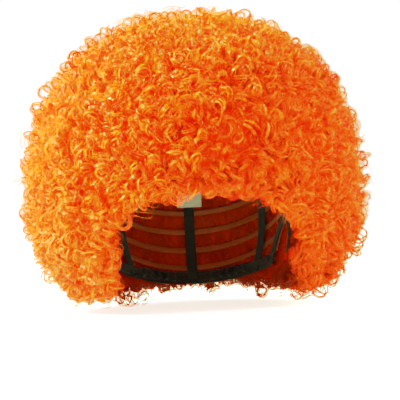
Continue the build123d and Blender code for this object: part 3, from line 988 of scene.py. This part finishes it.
def ladder_arrays(sign):
    """Ribbed tape with five arched loops."""
    x = np.linspace(0.1, LADDER_LENGTH - 0.1, 140)
    y = np.linspace(-LADDER_TAPE / 2 + 0.1, LADDER_TAPE / 2 - 0.1, 15)
    flat = np.stack(np.broadcast_arrays(x[:, None], y[None], LADDER_THICK / 2), -1)
    up = ladder_direction(np.array([0, 0, 1.0]), sign)
    ribs = profile(15, 8, 0.34)[None] * cord_wave(140, 0.1, 2)
    pieces = [sheet_arrays(from_ladder(flat, sign), ribs, normals=np.broadcast_to(up, flat.shape))]
    half, top = (LOOP_CLEAR + LOOP_WALL) / 2, LADDER_THICK + LOOP_HEIGHT + LOOP_WALL / 2
    turn = np.linspace(0, math.pi / 2, 7)
    corner = 1.0
    right = np.stack([half - corner + corner * np.cos(turn), top - corner + corner * np.sin(turn)], -1)
    foot = LADDER_THICK - 0.2
    arch = np.concatenate([[[half, foot]], right, right[::-1] * [-1, 1], [[-half, foot]]])
    way = unit(np.gradient(arch, axis=0))
    for number in range(LOOPS):
        middle = LADDER_LENGTH / 2 + (number - (LOOPS - 1) / 2) * LOOP_PITCH
        x = middle + np.linspace(-LOOP_LENGTH / 2, LOOP_LENGTH / 2, 7)
        local = np.stack(np.broadcast_arrays(x[None], arch[:, :1], arch[:, 1:]), -1)
        facing = ladder_direction(np.stack([0 * way[:, 0], way[:, 1], -way[:, 0]], -1), sign)
        facing = np.broadcast_to(facing[:, None], local.shape)
        pieces.append(sheet_arrays(from_ladder(local, sign), profile(7, 3, 0.33)[None], normals=facing))
    return join_arrays(pieces)


def hermite(points, tangents, steps):
    """Smooth curve through points with given directions."""
    out = []
    for i in range(len(points) - 1):
        chord = np.linalg.norm(points[i + 1] - points[i])
        t = np.linspace(0, 1, steps, endpoint=i == len(points) - 2)[:, None]
        a, b = tangents[i] * chord, tangents[i + 1] * chord
        out.append(points[i] * (2 * t ** 3 - 3 * t ** 2 + 1) + a * (t ** 3 - 2 * t ** 2 + t)
                   + points[i + 1] * (3 * t ** 2 - 2 * t ** 3) + b * (t ** 3 - t ** 2))
    return np.concatenate(out)


def elastic_arrays(sign):
    """Flat corded elastic from the ear binding to the eye of the tongue."""
    start = LADDER_START + ALONG * ELASTIC_START + INWARD * TONGUE_Z
    bend = LADDER_START + ALONG * ELASTIC_BEND + INWARD * TONGUE_Z
    last = unit(np.array([0.5, -0.85, 0.1]))
    line = hermite([start, bend, ELASTIC_ANCHOR], [ALONG, unit(ELASTIC_ANCHOR - start), last], 45)
    way = unit(np.gradient(line, axis=0))
    side = unit(ACROSS - (way @ ACROSS)[:, None] * way)
    w = np.linspace(-ELASTIC_WIDTH / 2 + 0.1, ELASTIC_WIDTH / 2 - 0.1, 13)
    grid = line[:, None] + side[:, None] * w[None, :, None]
    facing = np.broadcast_to(np.cross(way, side)[:, None], grid.shape)
    ribs = profile(13, 6, 0.5)[None] * cord_wave(len(line), 0.07)
    mirror = [sign, 1, 1]
    verts, faces = sheet_arrays(grid * mirror, ribs, normals=facing * mirror)
    return (verts, faces), start * mirror


def plastic():
    """Moulded plastic of the tongues: slightly uneven gloss and a fine moulded grain."""
    m, tree, bsdf = material("moulded_plastic")
    noise = {"Scale": 1800, "Detail": 4, "Vector": own_place(tree)}
    grain = add_node(tree, "TexNoise", noise).outputs["Fac"]
    colours = {"A": (0.012, 0.010, 0.010, 1), "B": (0.030, 0.024, 0.022, 1), "Factor": grain}
    shade = add_node(tree, "Mix", colours, data_type="RGBA")
    gloss = add_node(tree, "MapRange", {"To Min": 0.32, "To Max": 0.5, "Value": grain})
    relief = add_node(tree, "Bump", {"Strength": 0.2, "Distance": 0.00008, "Height": grain})
    set_inputs(bsdf, {
        "Base Color": shade.outputs["Result"],
        "Normal": relief.outputs["Normal"],
        "Roughness": gloss.outputs["Result"],
    })
    return m


PLASTIC = plastic()
for sign, side_name in ((1, "left"), (-1, "right")):
    cloth_piece(f"loop_ladder_{side_name}", ladder_arrays(sign), BINDING)
    arrays, tongue_end = elastic_arrays(sign)
    elastic = cloth_piece(f"adjuster_elastic_{side_name}", arrays, ELASTIC, None)
    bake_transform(elastic)
    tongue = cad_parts[f"adjuster_tongue_{side_name}"]
    for place in tongue.material_slots:
        place.material = PLASTIC


# Care label: a satin ribbon, sewn in at its top edge
LABEL_TOP, LABEL_WIDTH, LABEL_LENGTH = np.array([0.0, 86.6, 38.0]), 22.0, 32.0


def care_label():
    """The ribbon, thin at its hems and sides, with a dashed seam along both hems."""
    down = np.linspace(0.15, LABEL_LENGTH - 0.3, 60)
    wide = np.linspace(-LABEL_WIDTH / 2 + 0.1, LABEL_WIDTH / 2 - 0.1, 31)
    x, y, z = LABEL_TOP
    sway = 0.10 * np.sin(down / LABEL_LENGTH * TAU)[:, None] * np.cos(wide / LABEL_WIDTH * math.pi)[None]
    grid = np.stack(np.broadcast_arrays(x + wide[None], y + sway, z - down[:, None]), -1)
    half = np.full(grid.shape[:2], 0.19)
    half[:3] *= np.array([[0.7], [0.8], [0.9]])
    half[-1] *= 0.6
    half[:, [0, -1]] *= 0.7
    facing = np.broadcast_to([0, -1.0, 0], grid.shape)
    cloth_piece("care_label", sheet_arrays(grid, half, normals=facing), SATIN, "care_label")
    dashes = []
    for height in (z - 1.4, z - (LABEL_LENGTH - 1.6)):
        hem = np.stack([wide, np.full(31, y - 0.24), np.full(31, height)], -1)
        dashes += [hem[first:first + 2] for first in range(1, 29, 2)]
    stitching("care_label_seam", dashes, 0.07, "care_label")


care_label()


# ---- Set ------------------------------------------------------------------------------------------
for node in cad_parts:
    if node.startswith("hair_"):
        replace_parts(under, node)

bpy.ops.mesh.primitive_plane_add(size=14, location=(0, 0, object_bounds()[0].z))
floor = bpy.context.object
m, tree, bsdf = material("floor")
seen = add_node(tree, "LightPath", {}).outputs["Is Camera Ray"]
glow = add_node(tree, "Math", {0: seen, 1: 1.5}, operation="MULTIPLY")
set_inputs(bsdf, {
    "Base Color": (0.93, 0.93, 0.93, 1),
    "Roughness": 0.6,
    "Emission Color": (1, 1, 1, 1),
    "Emission Strength": glow.outputs[0],
})
floor.data.materials.append(m)

# The backdrop looks brighter to the camera than it lights the wig
world = bpy.data.worlds.new("studio")
bpy.context.scene.world = world
world.use_nodes = True
tree = world.node_tree
seen = add_node(tree, "LightPath", {}).outputs["Is Camera Ray"]
strength = add_node(tree, "MapRange", {"To Min": 1.0, "To Max": 1.95, "Value": seen})
set_inputs(tree.nodes["Background"], {"Color": (1, 1, 1, 1), "Strength": strength.outputs["Result"]})


def area(name, place, size, power, colour):
    """A round lamp that points at the wig."""
    data = bpy.data.lights.new(name, "AREA")
    data.shape, data.size, data.energy, data.color = "DISK", size, power, colour
    lamp = bpy.data.objects.new(name, data)
    bpy.context.scene.collection.objects.link(lamp)
    lamp.location = place
    lamp.rotation_euler = (Vector((0, 0, 0.03)) - Vector(place)).to_track_quat("-Z", "Y").to_euler()


area("key", (-1.5, 0.15, 1.45), 0.2, 250, (0.52, 0.95, 0.82))
area("rim", (1.6, -0.1, 0.6), 0.8, 38, (0.6, 1, 0.45))

camera = bpy.data.objects.new("camera", bpy.data.cameras.new("camera"))
bpy.context.scene.collection.objects.link(camera)
bpy.context.scene.camera = camera
DISTANCE, AZIMUTH, ROLL, FRAME_WIDTH = 1.6, math.radians(-4), math.radians(-2.5), 0.334
aim = Vector((0.0035, 0, 0.0125))
back = Vector((math.sin(AZIMUTH), -math.cos(AZIMUTH), 0))
camera.location = aim + back * DISTANCE
camera.rotation_euler = (-back).to_track_quat("-Z", "Y").to_euler()
camera.rotation_euler.rotate_axis("Z", ROLL)
camera.data.lens = camera.data.sensor_width * DISTANCE / FRAME_WIDTH

# A print-like shoulder for red, green and blue: bright values roll off instead of clipping
settings = bpy.context.scene.view_settings
settings.view_transform = "Standard"
settings.use_curve_mapping = True
mapping = settings.curve_mapping
mapping.white_level = (1.9, 1.9, 1.9)
shoulders = (
    ((0.116, 0.21), (0.21, 0.50), (0.337, 0.77), (0.78, 0.845)),
    ((0.05, 0.085), (0.16, 0.31), (0.30, 0.515), (0.60, 0.65)),
    ((0.05, 0.06), (0.16, 0.20), (0.55, 0.46)),
)
for curve, points in zip(mapping.curves, shoulders):
    for x, y in points:
        curve.points.new(x, y)
mapping.update()
